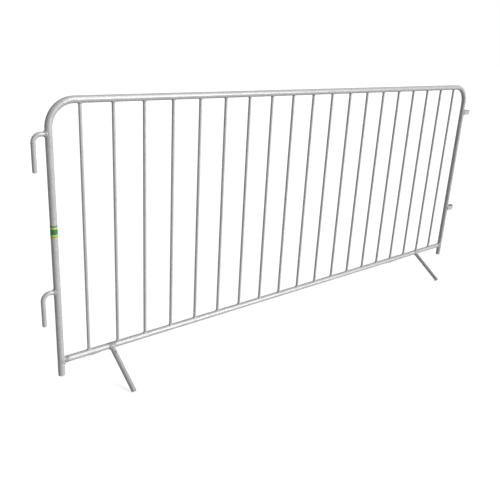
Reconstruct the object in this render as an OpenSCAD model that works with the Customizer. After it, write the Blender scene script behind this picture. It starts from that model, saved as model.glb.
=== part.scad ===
// Crowd barrier panel of welded galvanised steel tube, with fixed legs.
// X runs along the panel, the front faces -Y, Z is up and the ground is at Z = 0.
// The origin is on the ground, under the middle of the whole panel with its hooks, loops and legs.

/* [Panel frame] */
// Length of the panel over its two posts
panel_length = 2500; // [1800:10:3200]
// Height of the panel from the ground to the top of the top rail
panel_height = 1092; // [1000:2:1300]
// Outside diameter of the frame tube and the bottom rail
tube_d = 25; // [22:0.5:34]
// Wall of the frame tube and the bottom rail
tube_wall = 1.5; // [1:0.1:3]
// Radius of the two top corners, on the centre line of the tube
corner_radius = 92; // [50:1:120]
// Height of the bottom rail's centre line above the ground
bottom_rail_height = 124; // [110:1:180]
// Height of the open post ends above the ground
post_end_height = 63; // [30:1:90]

/* [Infill bars] */
// Number of upright bars between the posts
bar_count = 19; // [8:1:24]
// Outside diameter of a bar
bar_d = 12; // [10:0.5:16]
// Wall of a bar
bar_wall = 1.2; // [0.8:0.1:2]
// Distance from the end of the left corner to the first bar
first_bar_offset = 21.5; // [15:0.5:60]
// Distance from the last bar to the start of the right corner
last_bar_offset = 32; // [15:0.5:60]

/* [Hooks on the left post] */
// Diameter of the hook rod
hook_d = 16; // [12:0.5:18]
// Distance from the post's centre line to that of the hanging rod
hook_reach = 54; // [48:1:70]
// Radius of the hook's bend, on the centre line of the rod
hook_bend_radius = 27; // [20:1:32]
// Distance from the arm's centre line down to the tip of the hanging rod
hook_drop = 126; // [90:1:160]
// Bevel round the tip of the hanging rod
hook_tip_bevel = 2; // [1:0.5:4]
// Distance from the lower end of the corner down to the upper hook's arm
upper_hook_offset = 15.5; // [15:0.5:60]
// Height of the lower hook's arm above the bottom rail's centre line
lower_hook_rise = 283; // [200:1:340]

/* [Loops on the right post] */
// Height of the flat bar that the loops are bent from
strap_height = 25; // [20:1:40]
// Thickness of the flat bar
strap_thickness = 5; // [4:0.5:8]
// Distance from the post's centre line to the outer end of a loop
loop_reach = 66; // [48:1:90]
// Distance from the post's centre line to the ends of a loop's arms
loop_set = 4; // [1:0.5:8]
// Room for a hook across the inside of a loop
loop_clearance = 4; // [2:0.5:8]
// Distance from the upper hook's arm down to the middle of the upper loop
upper_loop_offset = 36; // [30:1:60]
// Distance from the lower hook's arm down to the middle of the lower loop
lower_loop_offset = 44; // [30:1:70]

/* [Legs] */
// Difference between the outside diameters of the frame tube and a leg
leg_step = 5; // [4:0.5:10]
// Wall of a leg
leg_wall = 2; // [1.5:0.1:3]
// Angle of the legs below the horizontal, in degrees
leg_angle = 33.5; // [28:0.5:45]
// Depth of the flat on the lower edge of a leg's closed end, where it stands on the ground
toe_flat = 1.5; // [1:0.1:2]
// Distance from the left post to the left legs
left_leg_inset = 208; // [160:1:420]
// Distance from the right post to the right legs
right_leg_inset = 257; // [160:1:420]
// Diameter of the vent hole in a leg
vent_d = 6; // [4:0.5:8]
// Distance along the leg from the rail's centre line to the vent hole
vent_distance = 38; // [30:1:60]

/* [Marker band] */
// Height of the band's lower edge above the bottom rail's centre line
band_rise = 492; // [380:1:560]
// Height of the band
band_height = 41; // [30:1:60]
// Thickness of the band
band_thickness = 0.4; // [0.2:0.1:1]
// Height of one stripe on the band
stripe_height = 7; // [4:0.5:10]
// Thickness of a stripe
stripe_thickness = 0.3; // [0.2:0.1:0.6]
// Distance from the band's upper edge to the upper stripe
upper_stripe_margin = 5.5; // [2:0.5:8]
// Distance from the band's lower edge to the lower stripe
lower_stripe_margin = 1.5; // [1:0.5:5]

/* [Welds] */
// Leg of the weld round a bar
bar_weld = 3.5; // [2:0.5:4.5]
// Leg of the weld between the bottom rail and a post
rail_weld = 2.5; // [2:0.5:4]
// Leg of the weld round a hook's arm
hook_weld = 4; // [2:0.5:5]
// Radius of the weld bead at the end of a loop's arm
loop_weld = 4; // [2.5:0.5:5]
// Leg of the weld round a leg
leg_weld = 3; // [2:0.5:4]

/* [Hidden] */
$fn = 96;
// Room left between two tubes where one is saddle-cut to the other
fit_up = 0.2;
// Width of the weld collar's edge on the rod and on the tube
weld_toe = 0.5;
// Distance that every cut runs past the face it cuts
overrun = 5;

tube_r = tube_d / 2;
hook_r = hook_d / 2;
leg_d = tube_d - leg_step;
leg_r = leg_d / 2;
saddle_r = tube_r + fit_up;

hook_extent = hook_reach + hook_r;
panel_x = (hook_extent - loop_reach) / 2;
left_x = panel_x - panel_length / 2 + tube_r;
right_x = panel_x + panel_length / 2 - tube_r;

top_rail_height = panel_height - tube_r;
corner_height = top_rail_height - corner_radius;

first_bar_x = left_x + corner_radius + first_bar_offset;
last_bar_x = right_x - corner_radius - last_bar_offset;
bar_pitch = (last_bar_x - first_bar_x) / (bar_count - 1);

upper_hook_height = corner_height - upper_hook_offset;
lower_hook_height = bottom_rail_height + lower_hook_rise;
hook_heights = [upper_hook_height, lower_hook_height];

loop_heights = [upper_hook_height - upper_loop_offset, lower_hook_height - lower_loop_offset];
loop_inner_w = hook_d + loop_clearance;
loop_outer_w = loop_inner_w + 2 * strap_thickness;
loop_end_x = right_x + loop_reach - loop_outer_w / 2;
loop_start_x = right_x + loop_set;

left_leg_x = left_x + left_leg_inset;
right_leg_x = right_x - right_leg_inset;
leg_length = (bottom_rail_height - leg_r * cos(leg_angle) + toe_flat) / sin(leg_angle);

band_height_0 = bottom_rail_height + band_rise;
band_d = tube_d + 2 * band_thickness;
stripe_d = band_d + 2 * stripe_thickness;
stripe_heights = [
    band_height_0 + lower_stripe_margin,
    band_height_0 + band_height - upper_stripe_margin - stripe_height
];

zinc = "silver";
zinc_weld = "lightgrey";

function bar_name(i) = str("infill_bar_", i < 10 ? "0" : "", i);
function bar_x(i) = first_bar_x + (i - 1) * bar_pitch;

// Round rod along X, from one x to another, at the height given
module rod_x(d, x0, x1, z) {
    translate([x0, 0, z])
        rotate([0, 90, 0])
            cylinder(d = d, h = x1 - x0);
}

// Upright round rod at x, from one height to another
module rod_z(d, x, z0, z1) {
    translate([x, 0, z0])
        cylinder(d = d, h = z1 - z0);
}

// Quarter bend of a round rod in the XZ plane, from straight right of its centre to straight above
module elbow(d, radius) {
    rotate([90, 0, 0])
        rotate_extrude(angle = 90)
            translate([radius, 0])
                circle(d = d);
}

// Space filled by a rod of diameter d that follows the frame's centre line
module frame_path(d, past_ends) {
    for (x = [left_x, right_x])
        rod_z(d, x, post_end_height - past_ends, corner_height);
    translate([left_x + corner_radius, 0, corner_height])
        mirror([1, 0, 0])
            elbow(d, corner_radius);
    translate([right_x - corner_radius, 0, corner_height])
        elbow(d, corner_radius);
    rod_x(d, left_x + corner_radius, right_x - corner_radius, top_rail_height);
}

// Both posts as plain rods, for saddle cuts
module post_rods(d) {
    for (x = [left_x, right_x])
        rod_z(d, x, post_end_height, corner_height);
}

// Both rails as plain rods round one bar or leg, for saddle cuts
module rail_rods(d, x, width) {
    for (z = [bottom_rail_height, top_rail_height])
        rod_x(d, x - width, x + width, z);
}

module frame_tube() {
    color(zinc)
        difference() {
            frame_path(tube_d, 0);
            frame_path(tube_d - 2 * tube_wall, overrun);
        }
}

module bottom_rail() {
    color(zinc)
        difference() {
            rod_x(tube_d, left_x, right_x, bottom_rail_height);
            rod_x(tube_d - 2 * tube_wall, left_x - overrun, right_x + overrun, bottom_rail_height);
            post_rods(2 * saddle_r);
        }
}

module infill_bar(i) {
    color(zinc)
        difference() {
            rod_z(bar_d, bar_x(i), bottom_rail_height, top_rail_height);
            rod_z(bar_d - 2 * bar_wall, bar_x(i), bottom_rail_height - overrun, top_rail_height + overrun);
            rail_rods(2 * saddle_r, bar_x(i), bar_d);
        }
}

// Arm, bend and hanging rod of one hook
module hook(arm_height) {
    rod_x_end = left_x - hook_reach + hook_bend_radius;
    bend_height = arm_height - hook_bend_radius;
    tip_height = arm_height - hook_drop;
    color(zinc)
        difference() {
            union() {
                rod_x(hook_d, rod_x_end, left_x, arm_height);
                translate([rod_x_end, 0, bend_height])
                    mirror([1, 0, 0])
                        elbow(hook_d, hook_bend_radius);
                rod_z(hook_d, left_x - hook_reach, tip_height + hook_tip_bevel, bend_height);
                translate([left_x - hook_reach, 0, tip_height])
                    cylinder(d1 = hook_d - 2 * hook_tip_bevel, d2 = hook_d, h = hook_tip_bevel);
            }
            post_rods(2 * saddle_r);
        }
}

module upper_hook() {
    hook(upper_hook_height);
}

module lower_hook() {
    hook(lower_hook_height);
}

// Plan outline of a strap loop's outside or inside, by its width
module loop_outline(width) {
    translate([loop_end_x, 0])
        circle(d = width);
    translate([loop_start_x, -width / 2])
        square([loop_end_x - loop_start_x, width]);
}

// Flat bar bent round into a U whose arms are cut to seat on the post
module loop(mid_height) {
    bottom = mid_height - strap_height / 2;
    color(zinc)
        difference() {
            translate([0, 0, bottom])
                linear_extrude(strap_height)
                    loop_outline(loop_outer_w);
            translate([0, 0, bottom - overrun])
                linear_extrude(strap_height + 2 * overrun)
                    union() {
                        loop_outline(loop_inner_w);
                        translate([loop_start_x - overrun, -loop_inner_w / 2])
                            square([2 * overrun, loop_inner_w]);
                    }
            post_rods(2 * saddle_r);
        }
}

module upper_loop() {
    loop(loop_heights[0]);
}

module lower_loop() {
    loop(loop_heights[1]);
}

// Children are turned from upright to the run of a front leg at x
module at_leg(x) {
    translate([x, 0, bottom_rail_height])
        rotate([90 + leg_angle, 0, 0])
            children();
}

// Space under the rail that belongs to the rear leg at x
module rear_half(x) {
    translate([x - leg_d, -fit_up / 2, 0])
        cube([2 * leg_d, leg_d, bottom_rail_height]);
}

// Front leg, saddle-cut to the rail, with a closed square end that stands on a small flat
module leg(x) {
    color(zinc)
        difference() {
            at_leg(x)
                cylinder(d = leg_d, h = leg_length);
            at_leg(x)
                translate([0, 0, -overrun])
                    cylinder(d = leg_d - 2 * leg_wall, h = leg_length - leg_wall + overrun);
            at_leg(x)
                translate([0, 0, vent_distance])
                    rotate([-90, 0, 0])
                        cylinder(d = vent_d, h = leg_d);
            rod_x(2 * saddle_r, x - leg_d, x + leg_d, bottom_rail_height);
            translate([x - leg_d, -2 * leg_length, -2 * leg_d])
                cube([2 * leg_d, 2 * leg_length, 2 * leg_d]);
            rear_half(x);
        }
}

module front_left_leg() {
    leg(left_leg_x);
}

module front_right_leg() {
    leg(right_leg_x);
}

module rear_left_leg() {
    mirror([0, 1, 0])
        leg(left_leg_x);
}

module rear_right_leg() {
    mirror([0, 1, 0])
        leg(right_leg_x);
}

// Ring round the left post
module post_ring(inner_d, outer_d, z0, height) {
    difference() {
        rod_z(outer_d, left_x, z0, z0 + height);
        rod_z(inner_d, left_x, z0 - overrun, z0 + height + overrun);
    }
}

module marker_band() {
    color("seagreen")
        post_ring(tube_d, band_d, band_height_0, band_height);
}

module marker_stripes() {
    color("gold")
        for (z = stripe_heights)
            post_ring(band_d, stripe_d, z, stripe_height);
}

// Weld collar round a rod of diameter d that runs along +Z from the axis of a frame tube or rail.
// The rod and the tube are cut away by the caller.
module weld_collar(d, leg) {
    foot_r = min(d / 2 + leg, tube_r - weld_toe);
    toe_r = d / 2 + weld_toe;
    shoulder = tube_r + weld_toe;
    top = tube_r + leg;
    rotate_extrude()
        polygon([[0, 0], [foot_r, 0], [foot_r, shoulder], [toe_r, top], [0, top]]);
}

module bar_top_welds() {
    color(zinc_weld)
        for (i = [1 : bar_count])
            difference() {
                translate([bar_x(i), 0, top_rail_height])
                    rotate([180, 0, 0])
                        weld_collar(bar_d, bar_weld);
                rod_z(bar_d, bar_x(i), bottom_rail_height, top_rail_height);
                rail_rods(tube_d, bar_x(i), bar_d);
            }
}

module bar_bottom_welds() {
    translate([0, 0, top_rail_height + bottom_rail_height])
        mirror([0, 0, 1])
            bar_top_welds();
}

// Bead in the corner between the bottom rail and each post
module rail_end_welds() {
    color(zinc_weld)
        for (post = [[left_x, 1], [right_x, -1]])
            difference() {
                intersection() {
                    translate([0, 0, bottom_rail_height])
                        rod_z(tube_d + 2 * rail_weld, post[0], -tube_d, tube_d);
                    translate([post[0], 0, bottom_rail_height])
                        rotate([0, 90 * post[1], 0])
                            cylinder(d = tube_d + 2 * rail_weld, h = tube_d);
                }
                rod_x(tube_d, left_x, right_x, bottom_rail_height);
                post_rods(tube_d);
            }
}

module hook_welds() {
    color(zinc_weld)
        for (z = hook_heights)
            difference() {
                translate([left_x, 0, z])
                    rotate([0, -90, 0])
                        weld_collar(hook_d, hook_weld);
                rod_x(hook_d, left_x - hook_reach, left_x, z);
                post_rods(tube_d);
            }
}

// Upright bead where each arm of a loop ends on the post
module loop_welds() {
    color(zinc_weld)
        for (z = loop_heights, side = [-1, 1])
            difference() {
                translate([loop_start_x, side * tube_r, z - strap_height / 2])
                    cylinder(r = loop_weld, h = strap_height);
                translate([loop_start_x, -loop_outer_w / 2, z - strap_height])
                    cube([loop_outer_w, loop_outer_w, 2 * strap_height]);
                post_rods(tube_d);
            }
}

// Weld collar round the front leg at x
module front_leg_collar(x) {
    difference() {
        at_leg(x)
            weld_collar(leg_d, leg_weld);
        at_leg(x)
            cylinder(d = leg_d, h = tube_d);
        rod_x(tube_d, x - leg_d, x + leg_d, bottom_rail_height);
        rear_half(x);
    }
}

module leg_welds() {
    color(zinc_weld)
        for (x = [left_leg_x, right_leg_x], side = [0, 1])
            mirror([0, side, 0])
                front_leg_collar(x);
}

frame_tube();
bottom_rail();
for (i = [1 : bar_count])
    infill_bar(i);
upper_hook();
lower_hook();
upper_loop();
lower_loop();
front_left_leg();
front_right_leg();
rear_left_leg();
rear_right_leg();
marker_band();
marker_stripes();
bar_top_welds();
bar_bottom_welds();
rail_end_welds();
hook_welds();
loop_welds();
leg_welds();
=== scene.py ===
"""Dresses a packed crowd barrier panel: zinc coating, weld beads, a marker band and a white studio."""

import math

import bmesh
import bpy
from bpy.props import FloatProperty, FloatVectorProperty, IntProperty, PointerProperty
from bpy.types import Operator, Panel, PropertyGroup
from mathutils import Euler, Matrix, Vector, noise


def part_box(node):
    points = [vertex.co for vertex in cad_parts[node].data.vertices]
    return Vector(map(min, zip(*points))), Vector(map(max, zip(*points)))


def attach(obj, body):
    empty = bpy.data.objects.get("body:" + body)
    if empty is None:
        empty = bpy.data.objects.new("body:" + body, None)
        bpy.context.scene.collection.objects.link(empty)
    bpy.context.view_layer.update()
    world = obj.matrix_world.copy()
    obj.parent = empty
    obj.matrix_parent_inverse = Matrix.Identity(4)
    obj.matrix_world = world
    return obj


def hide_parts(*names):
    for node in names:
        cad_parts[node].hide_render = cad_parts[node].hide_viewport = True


bl_info = {
    "name": "Barrier Panel Finish",
    "version": (1, 0, 0),
    "blender": (4, 5, 0),
    "location": "View3D > Sidebar > Barrier",
    "description": "Adds zinc coating, weld beads, a marker band and a studio to a crowd barrier panel",
    "category": "Object",
}

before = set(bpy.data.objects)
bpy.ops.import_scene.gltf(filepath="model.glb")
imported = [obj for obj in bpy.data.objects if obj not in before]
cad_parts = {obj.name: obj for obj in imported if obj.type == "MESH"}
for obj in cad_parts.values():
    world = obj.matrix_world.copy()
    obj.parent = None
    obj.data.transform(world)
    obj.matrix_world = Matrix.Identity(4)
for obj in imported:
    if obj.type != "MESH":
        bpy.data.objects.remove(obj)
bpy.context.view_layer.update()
BODY = "root"

X_AXIS = Vector((1, 0, 0))
Z_AXIS = Vector((0, 0, 1))
MM = 0.001

# Camera, from the left end of the bottom rail's axis, in metres and degrees
CAMERA_X, CAMERA_Y, CAMERA_Z = -0.81967, -1.96270, 1.21996
CAMERA_TURN = (69.93138, -3.23879, -40.17848)
SENSOR_WIDTH = 36
VIEW_DISTANCE = 100

# Lamps, in degrees: turn from +X, height over the floor, and spread of the light
LAMP_TURN = -58
KEY_HEIGHT = 6
FILL_HEIGHT = 40
LAMP_SPREAD = 30

# Floor: half its width in metres, the colour that lights the panel, and the glow that is seen
FLOOR_REACH = 30.0
FLOOR_BOUNCE = (0.3, 0.3, 0.3)
FLOOR_GLOW = 0.72

# Places and sizes of the joints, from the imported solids


def middle(node):
    low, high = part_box(node)
    return (low + high) / 2


def half_size(node):
    low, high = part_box(node)
    return (high - low) / 2


FRAME_LOW, FRAME_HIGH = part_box("frame_tube")
TUBE_RADIUS = half_size("bottom_rail").y
LEFT_POST_X = FRAME_LOW.x + TUBE_RADIUS
RIGHT_POST_X = FRAME_HIGH.x - TUBE_RADIUS
TOP_RAIL_Z = FRAME_HIGH.z - TUBE_RADIUS
BOTTOM_RAIL_Z = middle("bottom_rail").z
PANEL_Y = middle("bottom_rail").y
BARS = sorted(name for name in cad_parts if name.startswith("infill_bar_"))
HOOKS = ("upper_hook", "lower_hook")
LOOPS = ("upper_loop", "lower_loop")
LEGS = ("front_left_leg", "front_right_leg", "rear_left_leg", "rear_right_leg")
BAR_RADIUS = half_size(BARS[0]).x
HOOK_RADIUS = half_size(HOOKS[0]).y
LEG_RADIUS = half_size(LEGS[0]).x


# Settings


class ZincSettings(PropertyGroup):
    """Look of the hot-dip zinc coating"""

    light_colour: FloatVectorProperty(
        name="Light zinc",
        description="Colour of the bright crystals in the coating",
        subtype="COLOR",
        min=0,
        max=1,
        default=(0.67, 0.67, 0.67),
    )
    dark_colour: FloatVectorProperty(
        name="Dark zinc",
        description="Colour of the dull crystals and patches in the coating",
        subtype="COLOR",
        min=0,
        max=1,
        default=(0.47, 0.47, 0.47),
    )
    weld_colour: FloatVectorProperty(
        name="Zinc by welds",
        description="Colour of the dull coating on the rail beside its welds",
        subtype="COLOR",
        min=0,
        max=1,
        default=(0.36, 0.36, 0.36),
    )
    spangle_size: FloatProperty(
        name="Spangle size",
        description="Width of one zinc crystal",
        unit="LENGTH",
        min=1 * MM,
        default=7 * MM,
    )
    mottle_size: FloatProperty(
        name="Mottle size",
        description="Width of a dull or bright patch in the coating",
        unit="LENGTH",
        min=5 * MM,
        default=35 * MM,
    )
    grain_size: FloatProperty(
        name="Grain size",
        description="Width of the fine grain in the coating",
        unit="LENGTH",
        min=0.1 * MM,
        default=0.9 * MM,
    )
    relief: FloatProperty(
        name="Relief",
        description="Height of the coating's fine relief",
        unit="LENGTH",
        min=0,
        default=0.05 * MM,
    )
    metal_share: FloatProperty(
        name="Metal share",
        description="How metallic the weathered coating is",
        subtype="FACTOR",
        min=0,
        max=1,
        default=0.16,
    )
    roughness: FloatProperty(
        name="Roughness",
        description="Mean roughness of the coating",
        subtype="FACTOR",
        min=0,
        max=1,
        default=0.30,
    )


class WeldSettings(PropertyGroup):
    """Size and unevenness of the weld beads"""

    bar_size: FloatProperty(
        name="Bar weld",
        description="Size of the bead round an infill bar",
        unit="LENGTH",
        min=1 * MM,
        default=3.5 * MM,
    )
    rail_size: FloatProperty(
        name="Rail weld",
        description="Size of the bead between the bottom rail and a post",
        unit="LENGTH",
        min=1 * MM,
        default=5.5 * MM,
    )
    hook_size: FloatProperty(
        name="Hook weld",
        description="Size of the bead round a hook's arm",
        unit="LENGTH",
        min=1 * MM,
        default=4.5 * MM,
    )
    loop_size: FloatProperty(
        name="Loop weld",
        description="Size of the bead at the end of a loop's arm",
        unit="LENGTH",
        min=1 * MM,
        default=4.0 * MM,
    )
    leg_size: FloatProperty(
        name="Leg weld",
        description="Size of the bead round a leg",
        unit="LENGTH",
        min=1 * MM,
        default=4.6 * MM,
    )
    ripple_pitch: FloatProperty(
        name="Ripple pitch",
        description="Distance between two ripples along a bead",
        unit="LENGTH",
        min=0.5 * MM,
        default=2.4 * MM,
    )
    ripple_share: FloatProperty(
        name="Ripple height",
        description="Height of a ripple as a share of the bead's thickness",
        subtype="FACTOR",
        min=0,
        max=1,
        default=0.22,
    )
    unevenness: FloatProperty(
        name="Unevenness",
        description="How much a bead's width and thickness wander, as a share",
        subtype="FACTOR",
        min=0,
        max=1,
        default=0.20,
    )
    steps: IntProperty(
        name="Steps",
        description="Number of sections along one bead",
        min=16,
        max=256,
        default=88,
    )


class BandSettings(PropertyGroup):
    """Colours and lay of the marker band"""

    film_colour: FloatVectorProperty(
        name="Film",
        description="Colour of the band",
        subtype="COLOR",
        min=0,
        max=1,
        default=(0.02, 0.30, 0.09),
    )
    stripe_colour: FloatVectorProperty(
        name="Stripe",
        description="Colour of the two rings on the band",
        subtype="COLOR",
        min=0,
        max=1,
        default=(0.93, 0.88, 0.09),
    )
    overlap: FloatProperty(
        name="Overlap",
        description="Length over which the film's outer end lies on its inner end",
        unit="LENGTH",
        min=2 * MM,
        default=11 * MM,
    )
    seam_turn: FloatProperty(
        name="Seam",
        description="Where the film's inner end lies, as a turn from the +X side",
        subtype="ANGLE",
        unit="ROTATION",
        default=math.radians(75),
    )
    edge_wave: FloatProperty(
        name="Edge wave",
        description="How far the film's cut edges wander",
        unit="LENGTH",
        min=0,
        default=0.3 * MM,
    )


class StageSettings(PropertyGroup):
    """Camera, lamps and floor"""

    camera_place: FloatVectorProperty(
        name="Camera place",
        description="Where the camera stands",
        subtype="TRANSLATION",
        unit="LENGTH",
        default=(LEFT_POST_X + CAMERA_X, PANEL_Y + CAMERA_Y, BOTTOM_RAIL_Z + CAMERA_Z),
    )
    camera_turn: FloatVectorProperty(
        name="Camera turn",
        description="Rotation of the camera about X, Y and Z",
        subtype="EULER",
        unit="ROTATION",
        default=tuple(math.radians(a) for a in CAMERA_TURN),
    )
    camera_lens: FloatProperty(
        name="Lens",
        description="Focal length on a 36 mm sensor, in millimetres",
        min=10,
        default=44.404,
    )
    key_strength: FloatProperty(
        name="Key",
        description="Strength of the low broad lamp at the front right",
        min=0,
        default=2.6,
    )
    fill_strength: FloatProperty(
        name="Fill",
        description="Strength of the higher broad lamp at the front right",
        min=0,
        default=1.15,
    )
    ambient: FloatProperty(
        name="Ambient",
        description="Strength of the even light from all round",
        min=0,
        default=0.15,
    )
    floor_colour: FloatVectorProperty(
        name="Floor",
        description="Colour of the floor",
        subtype="COLOR",
        min=0,
        max=1,
        default=(0.8, 0.8, 0.8),
    )


# Node graphs


class Graph:
    """A node tree that starts empty, with short calls to add nodes and wire them"""

    def __init__(self, tree):
        self.tree = tree
        tree.nodes.clear()

    def add(self, kind, values=None, **options):
        node = self.tree.nodes.new(kind)
        for name, value in options.items():
            setattr(node, name, value)
        for name, value in (values or {}).items():
            self.feed(node.inputs[name], value)
        return node

    def feed(self, socket, value):
        if isinstance(value, bpy.types.NodeSocket):
            self.tree.links.new(value, socket)
        else:
            socket.default_value = value

    def maths(self, operation, first, second=0.0):
        node = self.add("ShaderNodeMath", {0: first, 1: second}, operation=operation)
        return node.outputs[0]

    def ranged(self, value, low, high, to_low, to_high):
        limits = {"From Min": low, "From Max": high, "To Min": to_low, "To Max": to_high}
        node = self.add("ShaderNodeMapRange", {"Value": value, **limits})
        return node.outputs["Result"]

    def mixed(self, share, first, second):
        """Mixes two colours, through the mix node's own sockets for colours"""
        node = self.add("ShaderNodeMix", {0: share, 6: first, 7: second}, data_type="RGBA")
        return node.outputs[2]

    def noise(self, place, size, detail=2.0, roughness=0.5):
        values = {"Vector": place, "Scale": 1 / size, "Detail": detail, "Roughness": roughness}
        return self.add("ShaderNodeTexNoise", values).outputs["Fac"]

    def stretched(self, place, scale):
        node = self.add("ShaderNodeVectorMath", {0: place, 1: scale}, operation="MULTIPLY")
        return node.outputs[0]


def new_graph(name):
    material = bpy.data.materials.new(name)
    material.use_nodes = True
    return material, Graph(material.node_tree)


def opaque(colour):
    return (*colour, 1.0)


# Most of a noise pattern's values lie in these ranges
NOISE_RANGE = (0.3, 0.7)
GRAIN_RANGE = (0.2, 0.8)

# How much each pattern in the zinc counts in its tone, roughness and relief
MOTTLE_TONES = (0.08, 0.58)
CRYSTAL_TONE = 0.16
RUN_TONE = 0.10
GRAIN_TONE = 0.05
CRYSTAL_ROUGHNESS = 0.05
MOTTLE_ROUGHNESS = 0.03
WELD_ROUGHNESS = 0.2
CRYSTAL_RELIEF = 0.35
GRAIN_RELIEF = 0.5
RELIEF_STRENGTH = 0.6

# Dull zinc beside a weld: how far it reaches, and the share of that before it starts to fade
WELD_REACH = 18 * MM
WELD_FADE_START = 0.75


def weld_share(graph, place, places, reach):
    """1 beside the welds at the places given along X, falling to 0 at the reach"""
    along = graph.add("ShaderNodeSeparateXYZ", {0: place}).outputs[0]
    share = 0.0
    for x in places:
        distance = graph.maths("ABSOLUTE", graph.maths("SUBTRACT", along, x))
        nearness = graph.ranged(distance, WELD_FADE_START * reach, reach, 1, 0)
        share = graph.maths("MAXIMUM", share, nearness)
    return share


def zinc_finish(name, zinc, dulling, stretch=(1, 1, 1), weld_places=()):
    """Hot-dip zinc: crystals, dull patches, runs along the stretch, grain, and dull places by welds"""
    material, graph = new_graph(name)
    place = graph.add("ShaderNodeTexCoord").outputs["Object"]
    cells = {"Vector": place, "Scale": 1 / zinc.spangle_size}
    crystal = graph.add("ShaderNodeTexVoronoi", cells)
    crystal_tone = graph.add("ShaderNodeSeparateColor", {0: crystal.outputs["Color"]}).outputs[0]
    mottle = graph.noise(place, zinc.mottle_size, detail=5, roughness=0.62)
    runs = graph.noise(graph.stretched(place, stretch), zinc.mottle_size / 3, detail=3)
    grain = graph.noise(place, zinc.grain_size, detail=2, roughness=0.6)

    tone = graph.ranged(mottle, 0, 1, *MOTTLE_TONES)
    tone = graph.maths("ADD", tone, graph.maths("MULTIPLY", crystal_tone, CRYSTAL_TONE))
    tone = graph.maths("ADD", tone, graph.ranged(runs, *NOISE_RANGE, -RUN_TONE, RUN_TONE))
    tone = graph.maths("ADD", tone, graph.ranged(grain, *GRAIN_RANGE, -GRAIN_TONE, GRAIN_TONE))
    tone = graph.maths("SUBTRACT", tone, dulling)
    tone = graph.add("ShaderNodeClamp", {0: tone}).outputs[0]
    colour = graph.mixed(tone, opaque(zinc.dark_colour), opaque(zinc.light_colour))

    smoothest, roughest = zinc.roughness - CRYSTAL_ROUGHNESS, zinc.roughness + CRYSTAL_ROUGHNESS
    rough = graph.ranged(crystal_tone, 0, 1, smoothest, roughest)
    dull_patches = graph.ranged(mottle, *NOISE_RANGE, MOTTLE_ROUGHNESS, -MOTTLE_ROUGHNESS)
    rough = graph.maths("ADD", rough, dull_patches)
    rough = graph.maths("ADD", rough, dulling)
    if weld_places:
        beside_weld = weld_share(graph, place, weld_places, WELD_REACH)
        colour = graph.mixed(beside_weld, colour, opaque(zinc.weld_colour))
        rough = graph.maths("ADD", rough, graph.maths("MULTIPLY", beside_weld, WELD_ROUGHNESS))

    relief = graph.maths("MULTIPLY", crystal_tone, CRYSTAL_RELIEF)
    relief = graph.maths("ADD", relief, graph.maths("MULTIPLY", grain, GRAIN_RELIEF))
    relief = graph.maths("ADD", relief, mottle)
    bump = graph.add(
        "ShaderNodeBump",
        {"Height": relief, "Distance": zinc.relief, "Strength": RELIEF_STRENGTH},
    )
    surface = graph.add(
        "ShaderNodeBsdfPrincipled",
        {"Base Color": colour, "Roughness": rough, "Normal": bump.outputs["Normal"]},
    )
    surface.inputs["Metallic"].default_value = zinc.metal_share
    surface.inputs["Specular IOR Level"].default_value = 0.0
    graph.add("ShaderNodeOutputMaterial", {"Surface": surface.outputs[0]})
    return material


# Film: sizes of its patterns, how far it fades and soils, and its gloss
GRIME_SIZE = 9 * MM
SCUFF_SIZE = 1.2 * MM
SCUFF_STRETCH = (1, 1, 0.15)
WORN_RANGE = (0.55, 0.75)
SCUFF_RANGE = (0.3, 0.75)
FADED_GREY, FADED_SHARE = 0.5, 0.12
SOILED_SHARE = 0.72
FILM_ROUGHNESS = (0.28, 0.55)
FILM_SPECULAR = 0.4
SCUFF_RELIEF = 0.3
FILM_RELIEF = 0.05 * MM
FILM_RELIEF_STRENGTH = 0.5


def film_finish(name, colour, wear):
    """Glossy vinyl with fine scuffs and a little grime"""
    material, graph = new_graph(name)
    place = graph.add("ShaderNodeTexCoord").outputs["Object"]
    grime = graph.noise(place, GRIME_SIZE, detail=4, roughness=0.6)
    scuffs = graph.noise(graph.stretched(place, SCUFF_STRETCH), SCUFF_SIZE, detail=3)
    faded = [c + (FADED_GREY - c) * FADED_SHARE for c in colour]
    soiled = [c * SOILED_SHARE for c in colour]
    tint = graph.mixed(graph.ranged(grime, *NOISE_RANGE, 0, 1), opaque(soiled), opaque(colour))
    tint = graph.mixed(graph.ranged(scuffs, *WORN_RANGE, 0, wear), tint, opaque(faded))
    rough = graph.ranged(scuffs, *SCUFF_RANGE, *FILM_ROUGHNESS)
    relief = graph.maths("ADD", grime, graph.maths("MULTIPLY", scuffs, SCUFF_RELIEF))
    bump = graph.add(
        "ShaderNodeBump",
        {"Height": relief, "Distance": FILM_RELIEF, "Strength": FILM_RELIEF_STRENGTH},
    )
    surface = graph.add(
        "ShaderNodeBsdfPrincipled",
        {"Base Color": tint, "Roughness": rough, "Normal": bump.outputs["Normal"]},
    )
    surface.inputs["Specular IOR Level"].default_value = FILM_SPECULAR
    graph.add("ShaderNodeOutputMaterial", {"Surface": surface.outputs[0]})
    return material


# Meshes


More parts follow.
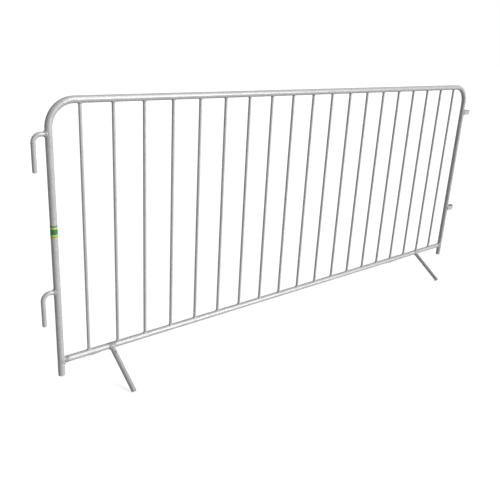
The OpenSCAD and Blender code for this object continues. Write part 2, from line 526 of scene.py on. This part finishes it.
class Shell:
    """Points and faces that are gathered first and then made into one piece"""

    def __init__(self):
        self.points = []
        self.faces = []

    def add_rings(self, rings, closed):
        """Skins rings of points in order, either round to the first ring or with both ends filled"""
        start, count = len(self.points), len(rings[0])
        for ring in rings:
            self.points.extend(ring)
        spans = len(rings) if closed else len(rings) - 1
        for i in range(spans):
            here = start + i * count
            there = start + (i + 1) % len(rings) * count
            for k in range(count):
                after = (k + 1) % count
                self.faces.append((here + k, here + after, there + after, there + k))
        if not closed:
            last = start + (len(rings) - 1) * count
            self.faces.append(tuple(range(start, start + count)))
            self.faces.append(tuple(range(last, last + count)))

    def to_piece(self, name, material, slot, *nodes):
        """Makes a smooth mesh that stands for the CAD nodes given"""
        mesh = bpy.data.meshes.new(name)
        mesh.from_pydata(self.points, [], self.faces)
        work = bmesh.new()
        work.from_mesh(mesh)
        bmesh.ops.recalc_face_normals(work, faces=work.faces)
        work.to_mesh(mesh)
        work.free()
        mesh.shade_smooth()
        mesh.materials.append(material)
        piece = bpy.data.objects.new(name, mesh)
        bpy.context.scene.collection.objects.link(piece)
        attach(piece, BODY)
        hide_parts(*nodes)
        return piece


# A bead's section, as shares of its size: half its width, half its depth in a tight corner and what an
# open corner adds to it, and how far its middle rises in an open corner and sinks in a tight one
BEAD_WIDTH = 0.85
TIGHT_DEPTH, ADDED_DEPTH = 0.25, 0.35
OPEN_RISE, TIGHT_SINK = 0.5, 0.05
BEAD_POINTS = 10

# Length of the lumps along a bead, and a shift that makes its swells differ from its lumps
LUMP_SIZE = 6 * MM
SWELL_SIZE = 4 * MM
SWELL_SHIFT = Vector((7.3, 1.7, 4.1))

# Ripples have round tops and sharp valleys
RIPPLE_POWER = 0.6
RIPPLE_MEAN = 0.5

# Step along a seam for its direction, in radians
SEAM_STEP = 0.01

# A straight bead fills a fairly open corner and rounds off towards its ends
STRAIGHT_OPENING = 0.7
END_POWER = 6
END_LEAST = 0.04


def bead_ring(point, spread, bulge, size, opening, ripple, welds):
    """One section of a bead: an uneven oval that is half sunk in the corner it fills"""
    lump = noise.noise(point / LUMP_SIZE)
    swell = noise.noise(point / SWELL_SIZE + SWELL_SHIFT)
    width = size * (BEAD_WIDTH + welds.unevenness * lump)
    depth = size * (TIGHT_DEPTH + ADDED_DEPTH * opening)
    depth *= 1 + welds.ripple_share * (ripple - RIPPLE_MEAN) + welds.unevenness * swell
    centre = point + bulge * size * (OPEN_RISE * opening - TIGHT_SINK)
    turns = [2 * math.pi * k / BEAD_POINTS for k in range(BEAD_POINTS)]
    return [centre + spread * width * math.cos(t) + bulge * depth * math.sin(t) for t in turns]


def saddle_bead(shell, centre, rod_axis, tube_axis, rod_radius, tube_radius, size, welds):
    """Adds the bead round the seam where a rod stands on a tube"""
    side = rod_axis.cross(tube_axis)

    def seam(turn):
        height = math.sqrt(tube_radius**2 - (rod_radius * math.sin(turn)) ** 2)
        outward = tube_axis * math.cos(turn) + side * math.sin(turn)
        return centre + outward * rod_radius + rod_axis * height

    ripples = max(1, round(2 * math.pi * rod_radius / welds.ripple_pitch))
    rings = []
    for i in range(welds.steps):
        turn = 2 * math.pi * i / welds.steps
        point = seam(turn)
        along = (seam(turn + SEAM_STEP) - seam(turn - SEAM_STEP)).normalized()
        rod_normal = tube_axis * math.cos(turn) + side * math.sin(turn)
        from_axis = point - centre
        tube_normal = (from_axis - tube_axis * from_axis.dot(tube_axis)).normalized()
        up_rod = rod_normal.cross(along)
        out_tube = along.cross(tube_normal)
        spread = (up_rod - out_tube).normalized()
        bulge = (rod_normal + tube_normal).normalized()
        opening = (up_rod + out_tube).length / 2
        ripple = abs(math.sin(ripples * turn / 2)) ** RIPPLE_POWER
        rings.append(bead_ring(point, spread, bulge, size, opening, ripple, welds))
    shell.add_rings(rings, closed=True)


def straight_bead(shell, start, end, spread, bulge, size, welds):
    """Adds a bead along a straight seam, rounded off at both ends"""
    length = (end - start).length
    rings = []
    for i in range(welds.steps + 1):
        share = i / welds.steps
        taper = max(END_LEAST, 1 - abs(2 * share - 1) ** END_POWER) ** 0.5
        ripple = abs(math.sin(math.pi * share * length / welds.ripple_pitch)) ** RIPPLE_POWER
        point = start.lerp(end, share)
        ring = bead_ring(point, spread, bulge, size * taper, STRAIGHT_OPENING, ripple, welds)
        rings.append(ring)
    shell.add_rings(rings, closed=False)


# A wound strip: sections round the post and rows up it
STRIP_STEPS, STRIP_ROWS = 144, 8

# Where the outer end climbs onto the inner end, and over what length, as shares of the overlap
CLIMB_LEAD, CLIMB_RUN = 0.5, 0.4

# Waves in the film's edges and puckers in its face: how fast they change round the post, and their
# size up it
WAVE_PACE, WAVE_SIZE = 2.2, 5 * MM
PUCKER_PACE, PUCKER_SIZE = 3, 8 * MM
PUCKER_HEIGHT = 0.06 * MM


def film_strip(shell, centre, radius, thickness, low, high, band, lift):
    """Adds a strip of film wound once round the post, with its outer end lying on its inner end"""
    full = 2 * math.pi
    lap = band.overlap / radius
    upwards, downwards = range(STRIP_ROWS + 1), range(STRIP_ROWS, -1, -1)
    rings = []
    for i in range(STRIP_STEPS + 1):
        wound = (full + lap) * i / STRIP_STEPS
        turn = band.seam_turn + wound
        climb = min(1, max(0, (wound - full + CLIMB_LEAD * lap) / (CLIMB_RUN * lap)))
        inner = radius + lift * climb * climb * (3 - 2 * climb)
        outward = Vector((math.cos(turn), math.sin(turn), 0))
        sway = outward * WAVE_PACE
        bottom, top = (
            z + band.edge_wave * noise.noise(sway + Vector((0, 0, z / WAVE_SIZE))) for z in (low, high)
        )
        ring = []
        for offset, order in ((inner, upwards), (inner + thickness, downwards)):
            for k in order:
                z = bottom + (top - bottom) * k / STRIP_ROWS
                point = centre + outward * offset
                place = Vector((*(outward * PUCKER_PACE).xy, z / PUCKER_SIZE))
                pucker = noise.noise(place) * PUCKER_HEIGHT
                ring.append(Vector((point.x, point.y, z)) + outward * max(0, pucker))
        rings.append(ring)
    shell.add_rings(rings, closed=False)


# Operators

# A seat a little wider than the rail keeps the seam smooth where the rail meets a post of its own width
SEAT_ALLOWANCE = 0.25 * MM

# Levels of points closer than this belong to the same edge of a ring
LEVEL_STEP = 0.5 * MM


def give_finish(nodes, material):
    for name in nodes:
        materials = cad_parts[name].data.materials
        materials.clear()
        materials.append(material)


class BARRIER_OT_tubes(Operator):
    """Gives the frame tube, the bottom rail and the legs their zinc"""

    bl_idname = "barrier.tubes"
    bl_label = "Tubes"

    def execute(self, context):
        zinc = context.scene.barrier_zinc
        posts = zinc_finish("zinc_on_frame", zinc, dulling=0.0, stretch=(1, 1, 0.12))
        welds = [LEFT_POST_X + TUBE_RADIUS, RIGHT_POST_X - TUBE_RADIUS]
        welds += [middle(leg).x for leg in LEGS if leg.startswith("front")]
        rail = zinc_finish(
            "zinc_on_rail", zinc, dulling=0.0, stretch=(0.12, 1, 1), weld_places=welds
        )
        legs = zinc_finish("zinc_on_legs", zinc, dulling=0.04, stretch=(1, 0.2, 0.3))
        give_finish(["frame_tube"], posts)
        give_finish(["bottom_rail"], rail)
        give_finish(LEGS, legs)
        return {"FINISHED"}


class BARRIER_OT_bars(Operator):
    """Gives the infill bars their zinc"""

    bl_idname = "barrier.bars"
    bl_label = "Infill Bars"

    def execute(self, context):
        zinc = context.scene.barrier_zinc
        bars = zinc_finish("zinc_on_bars", zinc, dulling=0.02, stretch=(1, 1, 0.1))
        give_finish(BARS, bars)
        return {"FINISHED"}


class BARRIER_OT_fittings(Operator):
    """Gives the hooks and the strap loops their zinc"""

    bl_idname = "barrier.fittings"
    bl_label = "Hooks and Loops"

    def execute(self, context):
        zinc = context.scene.barrier_zinc
        give_finish(HOOKS + LOOPS, zinc_finish("zinc_on_fittings", zinc, dulling=0.03))
        return {"FINISHED"}


class BARRIER_OT_welds(Operator):
    """Builds the weld beads at every joint"""

    bl_idname = "barrier.welds"
    bl_label = "Weld Beads"

    def execute(self, context):
        zinc, welds = context.scene.barrier_zinc, context.scene.barrier_welds
        material = zinc_finish("zinc_on_welds", zinc, dulling=0.16)
        joints = {
            "bar_top_welds": self.bar_beads(welds, TOP_RAIL_Z, -Z_AXIS),
            "bar_bottom_welds": self.bar_beads(welds, BOTTOM_RAIL_Z, Z_AXIS),
            "rail_end_welds": self.rail_beads(welds),
            "hook_welds": self.hook_beads(welds),
            "loop_welds": self.loop_beads(welds),
            "leg_welds": self.leg_beads(welds),
        }
        for node, shell in joints.items():
            shell.to_piece(node.replace("welds", "beads"), material, "galvanised_weld", node)
        return {"FINISHED"}

    def bar_beads(self, welds, rail_z, bar_axis):
        shell = Shell()
        for bar in BARS:
            centre = Vector((middle(bar).x, PANEL_Y, rail_z))
            saddle_bead(
                shell, centre, bar_axis, X_AXIS, BAR_RADIUS, TUBE_RADIUS, welds.bar_size, welds
            )
        return shell

    def rail_beads(self, welds):
        shell = Shell()
        seat = TUBE_RADIUS + SEAT_ALLOWANCE
        for post_x, rail_axis in ((LEFT_POST_X, X_AXIS), (RIGHT_POST_X, -X_AXIS)):
            centre = Vector((post_x, PANEL_Y, BOTTOM_RAIL_Z))
            saddle_bead(
                shell, centre, rail_axis, Z_AXIS, TUBE_RADIUS, seat, welds.rail_size, welds
            )
        return shell

    def hook_beads(self, welds):
        shell = Shell()
        for hook in HOOKS:
            arm_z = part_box(hook)[1].z - HOOK_RADIUS
            centre = Vector((LEFT_POST_X, PANEL_Y, arm_z))
            saddle_bead(
                shell, centre, -X_AXIS, Z_AXIS, HOOK_RADIUS, TUBE_RADIUS, welds.hook_size, welds
            )
        return shell

    def loop_beads(self, welds):
        shell = Shell()
        for loop in LOOPS:
            low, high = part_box(loop)
            for side in (-1, 1):
                outward = Vector((-1, side, 0)).normalized()
                across = Vector((1, side, 0)).normalized()
                seam = Vector((low.x, PANEL_Y + side * TUBE_RADIUS, 0))
                start, end = seam + Z_AXIS * low.z, seam + Z_AXIS * high.z
                straight_bead(shell, start, end, across, outward, welds.loop_size, welds)
        return shell

    def leg_beads(self, welds):
        shell = Shell()
        for leg in LEGS:
            centre = Vector((middle(leg).x, PANEL_Y, BOTTOM_RAIL_Z))
            axis = self.leg_axis(leg)
            saddle_bead(
                shell, centre, axis, X_AXIS, LEG_RADIUS, TUBE_RADIUS, welds.leg_size, welds
            )
        return shell

    def leg_axis(self, leg):
        """Direction of a leg, from the outermost point of its square lower end"""
        points = (v.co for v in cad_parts[leg].data.vertices)
        tip = max(points, key=lambda point: abs(point.y - PANEL_Y))
        out, down = tip.y - PANEL_Y, BOTTOM_RAIL_Z - tip.z
        length = math.sqrt(out**2 + down**2 - LEG_RADIUS**2)
        slope = math.atan2(down, abs(out)) + math.atan2(LEG_RADIUS, length)
        return Vector((0, math.copysign(math.cos(slope), out), -math.sin(slope)))


class BARRIER_OT_marker_band(Operator):
    """Winds the green film and its two yellow rings round the left post"""

    bl_idname = "barrier.marker_band"
    bl_label = "Marker Band"

    def execute(self, context):
        band = context.scene.barrier_band
        low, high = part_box("marker_band")
        film_radius = (high.x - low.x) / 2
        film = film_radius - TUBE_RADIUS
        centre = Vector((LEFT_POST_X, PANEL_Y, 0))
        shell = Shell()
        film_strip(shell, centre, TUBE_RADIUS, film, low.z, high.z, band, film)
        green = film_finish("green_vinyl", band.film_colour, wear=0.5)
        shell.to_piece("marker_film", green, "green_film", "marker_band")

        stripe_low, stripe_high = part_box("marker_stripes")
        ring = (stripe_high.x - stripe_low.x) / 2 - film_radius
        height = self.ring_height(stripe_low.z)
        shell = Shell()
        for start in (stripe_low.z, stripe_high.z - height):
            film_strip(shell, centre, film_radius, ring, start, start + height, band, film + ring)
        yellow = film_finish("yellow_vinyl", band.stripe_colour, wear=0.6)
        shell.to_piece("marker_rings", yellow, "yellow_film", "marker_stripes")
        return {"FINISHED"}

    def ring_height(self, low):
        """Height of one ring, from the lower ring's two edges"""
        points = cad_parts["marker_stripes"].data.vertices
        levels = sorted({round(point.co.z, 5) for point in points})
        return next(z for z in levels if z > low + LEVEL_STEP) - low


class BARRIER_OT_stage(Operator):
    """Sets up the camera, the lamps, the floor and the white surroundings"""

    bl_idname = "barrier.stage"
    bl_label = "Stage"

    def execute(self, context):
        stage = context.scene.barrier_stage
        context.scene.view_settings.view_transform = "Standard"
        self.add_camera(context.scene, stage)
        self.add_lamp("key_lamp", stage.key_strength, KEY_HEIGHT)
        self.add_lamp("fill_lamp", stage.fill_strength, FILL_HEIGHT)
        self.add_surroundings(context.scene, stage)
        self.add_floor(stage)
        return {"FINISHED"}

    def add_camera(self, scene, stage):
        data = bpy.data.cameras.new("camera")
        data.lens = stage.camera_lens
        data.sensor_width = SENSOR_WIDTH
        data.clip_end = VIEW_DISTANCE
        camera = bpy.data.objects.new("camera", data)
        camera.location = stage.camera_place
        camera.rotation_euler = Euler(stage.camera_turn, "XYZ")
        scene.collection.objects.link(camera)
        scene.camera = camera

    def add_lamp(self, name, strength, height):
        """A broad distant lamp at a height over the floor, in degrees"""
        data = bpy.data.lights.new(name, "SUN")
        data.energy = strength
        data.angle = math.radians(LAMP_SPREAD)
        turn, height = math.radians(LAMP_TURN), math.radians(height)
        towards = Vector((math.cos(turn), math.sin(turn), math.tan(height)))
        lamp = bpy.data.objects.new(name, data)
        lamp.rotation_euler = towards.to_track_quat("Z", "Y").to_euler()
        bpy.context.scene.collection.objects.link(lamp)

    def seen_share(self, graph):
        """1 for rays that show the surroundings to the camera, directly or in a reflection"""
        path = graph.add("ShaderNodeLightPath").outputs
        share = graph.maths("MAXIMUM", path["Is Camera Ray"], path["Is Glossy Ray"])
        return graph.maths("MAXIMUM", share, path["Is Transmission Ray"])

    def add_surroundings(self, scene, stage):
        world = bpy.data.worlds.new("studio")
        world.use_nodes = True
        scene.world = world
        graph = Graph(world.node_tree)
        dim = graph.add("ShaderNodeBackground", {"Strength": stage.ambient})
        white = graph.add("ShaderNodeBackground", {"Strength": 1.0})
        for background in (dim, white):
            background.inputs["Color"].default_value = (1, 1, 1, 1)
        shown = graph.add(
            "ShaderNodeMixShader",
            {0: self.seen_share(graph), 1: dim.outputs[0], 2: white.outputs[0]},
        )
        graph.add("ShaderNodeOutputWorld", {"Surface": shown.outputs[0]})

    def add_floor(self, stage):
        around = ((-1, -1), (1, -1), (1, 1), (-1, 1))
        corners = [(x * FLOOR_REACH, y * FLOOR_REACH, 0) for x, y in around]
        mesh = bpy.data.meshes.new("floor")
        mesh.from_pydata(corners, [], [(0, 1, 2, 3)])
        material, graph = new_graph("pale_floor")
        seen = self.seen_share(graph)
        paint = graph.mixed(seen, opaque(FLOOR_BOUNCE), opaque(stage.floor_colour))
        matt = graph.add("ShaderNodeBsdfDiffuse", {"Color": paint})
        glow_strength = graph.maths("MULTIPLY", seen, FLOOR_GLOW)
        glow = graph.add("ShaderNodeEmission", {"Strength": glow_strength})
        both = graph.add("ShaderNodeAddShader", {0: matt.outputs[0], 1: glow.outputs[0]})
        graph.add("ShaderNodeOutputMaterial", {"Surface": both.outputs[0]})
        mesh.materials.append(material)
        floor = bpy.data.objects.new("floor", mesh)
        bpy.context.scene.collection.objects.link(floor)


class BARRIER_PT_finish(Panel):
    """Lists the steps that dress the barrier panel"""

    bl_label = "Barrier Panel"
    bl_idname = "BARRIER_PT_finish"
    bl_space_type = "VIEW_3D"
    bl_region_type = "UI"
    bl_category = "Barrier"

    def draw(self, context):
        for step in STEPS:
            self.layout.operator(step.bl_idname)
        for group in GROUPS:
            box = self.layout.box()
            settings = getattr(context.scene, group)
            for name in settings.__annotations__:
                box.prop(settings, name)


STEPS = (
    BARRIER_OT_tubes,
    BARRIER_OT_bars,
    BARRIER_OT_fittings,
    BARRIER_OT_welds,
    BARRIER_OT_marker_band,
    BARRIER_OT_stage,
)
GROUPS = {
    "barrier_zinc": ZincSettings,
    "barrier_welds": WeldSettings,
    "barrier_band": BandSettings,
    "barrier_stage": StageSettings,
}
CLASSES = (*GROUPS.values(), *STEPS, BARRIER_PT_finish)


def register():
    for each in CLASSES:
        bpy.utils.register_class(each)
    for name, group in GROUPS.items():
        setattr(bpy.types.Scene, name, PointerProperty(type=group))


def unregister():
    for name in GROUPS:
        delattr(bpy.types.Scene, name)
    for each in reversed(CLASSES):
        bpy.utils.unregister_class(each)


def main():
    register()
    bpy.ops.barrier.tubes()
    bpy.ops.barrier.bars()
    bpy.ops.barrier.fittings()
    bpy.ops.barrier.welds()
    bpy.ops.barrier.marker_band()
    bpy.ops.barrier.stage()


if __name__ == "__main__":
    main()
